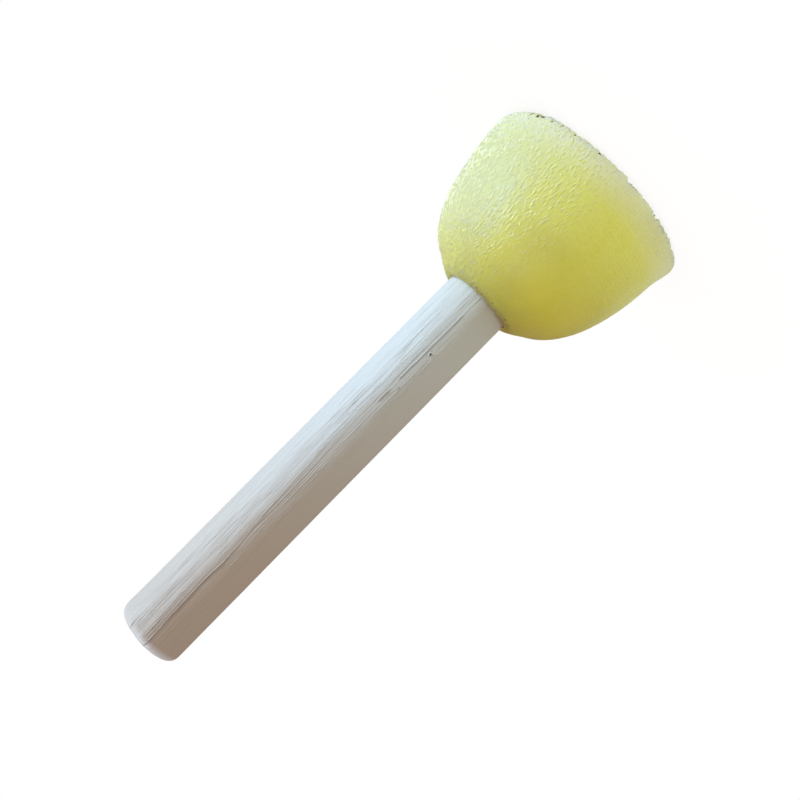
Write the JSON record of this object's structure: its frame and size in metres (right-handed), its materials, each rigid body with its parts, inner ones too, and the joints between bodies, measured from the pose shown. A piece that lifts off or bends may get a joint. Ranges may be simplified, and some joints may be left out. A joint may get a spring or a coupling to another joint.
{
  "type": "foam sponge brush",
  "caption": "Sponge dabbing brush: a bell-shaped foam head with a flat face on the end of a round white wooden handle.",
  "frame": {"origin": "centre of the flat foam dabbing face, which the brush stands on", "axes": "+Z along the handle, from the foam face up to the handle's butt end; the object is round about Z, so +X and +Y are any two directions across it"},
  "size_m": [0.038, 0.038, 0.105],
  "materials": {
    "painted_wood": "thin matt white paint on straight-grained wood, the grain showing through as fine ridges",
    "foam": "soft yellow open-cell polyurethane foam with fine pores",
    "adhesive": "cured brown adhesive, slightly glossy"
  },
  "bodies": {
    "root": {"handle": "painted_wood", "foam_head": "foam", "glue": "adhesive"}
  },
  "joints": []
}
